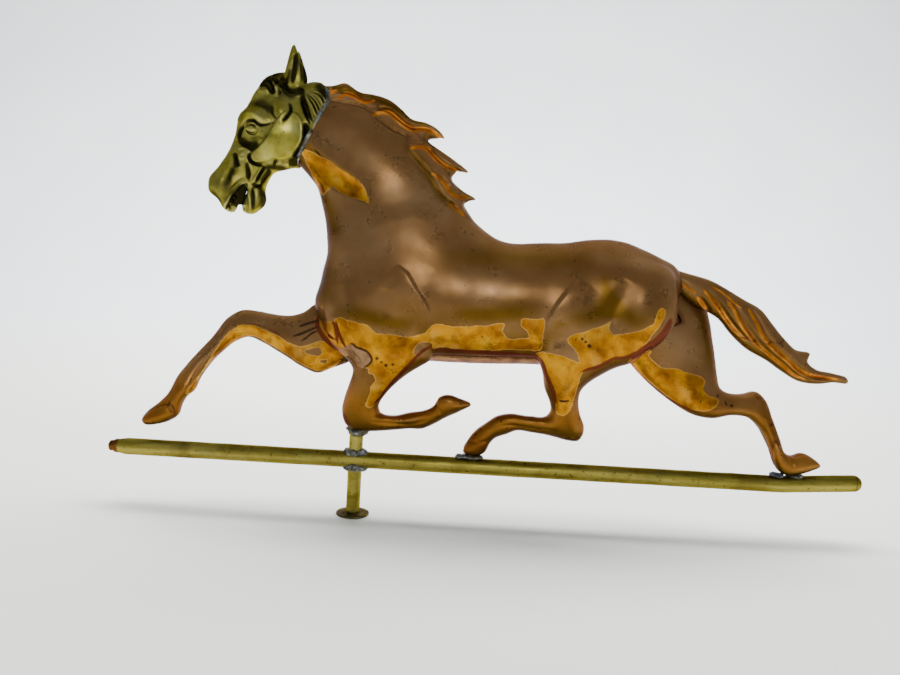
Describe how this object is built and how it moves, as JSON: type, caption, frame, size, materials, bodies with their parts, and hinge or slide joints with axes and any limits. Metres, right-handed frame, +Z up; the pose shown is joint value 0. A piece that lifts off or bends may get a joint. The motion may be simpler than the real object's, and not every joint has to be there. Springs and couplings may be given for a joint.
{
  "type": "horse weather vane",
  "caption": "Hollow copper trotting horse on a brass perch tube, turning freely on an upright steel spindle with a round foot.",
  "frame": {"origin": "centre of the underside of the base disc, on the spin axis", "axes": "+Z up the spindle, +X along the perch towards the tail, +Y towards the horse's right side"},
  "size_m": [0.8669, 0.1065, 0.5205],
  "materials": {
    "patinated_copper": null,
    "antique_brass": "cast brass, antique gold with dark recesses",
    "tube_brass": "aged brass tube, greenish gold with dark specks",
    "solder": "grey soft solder, uneven and dull",
    "spindle_steel": "plain turned steel",
    "dull_bronze": "dull brown bronze",
    "pad_grey": "dark grey metal pad"
  },
  "bodies": {
    "spindle": {"base_disc": "dull_bronze", "spindle_rod": "spindle_steel", "thrust_ball": "spindle_steel"},
    "vane": {"post_tube": "tube_brass", "bearing_cup": "tube_brass", "lower_bush": "tube_brass", "perch_tube": "tube_brass", "perch_plug_front": "patinated_copper", "perch_cap_rear": "tube_brass", "solder_post_top": "solder", "solder_post_bottom": "solder", "solder_knee": "solder", "solder_hoof_left": "solder", "solder_hoof_right": "solder", "hoof_pad": "pad_grey", "body_shell_left": "patinated_copper", "body_shell_right": "patinated_copper", "belly_pan": "patinated_copper", "foreleg_left_inner": "patinated_copper", "foreleg_right_inner": "patinated_copper", "hindleg_left_inner": "patinated_copper", "hindleg_right_inner": "patinated_copper", "tail_left": "patinated_copper", "tail_right": "patinated_copper", "head": "antique_brass", "neck_solder": "solder"}
  },
  "joints": [
    {"name": "vane_spin", "type": "hinge", "parent": "spindle", "child": "vane", "pos_m": [0, 0, 0], "axis": [0, 0, 1], "continuous": true}
  ]
}
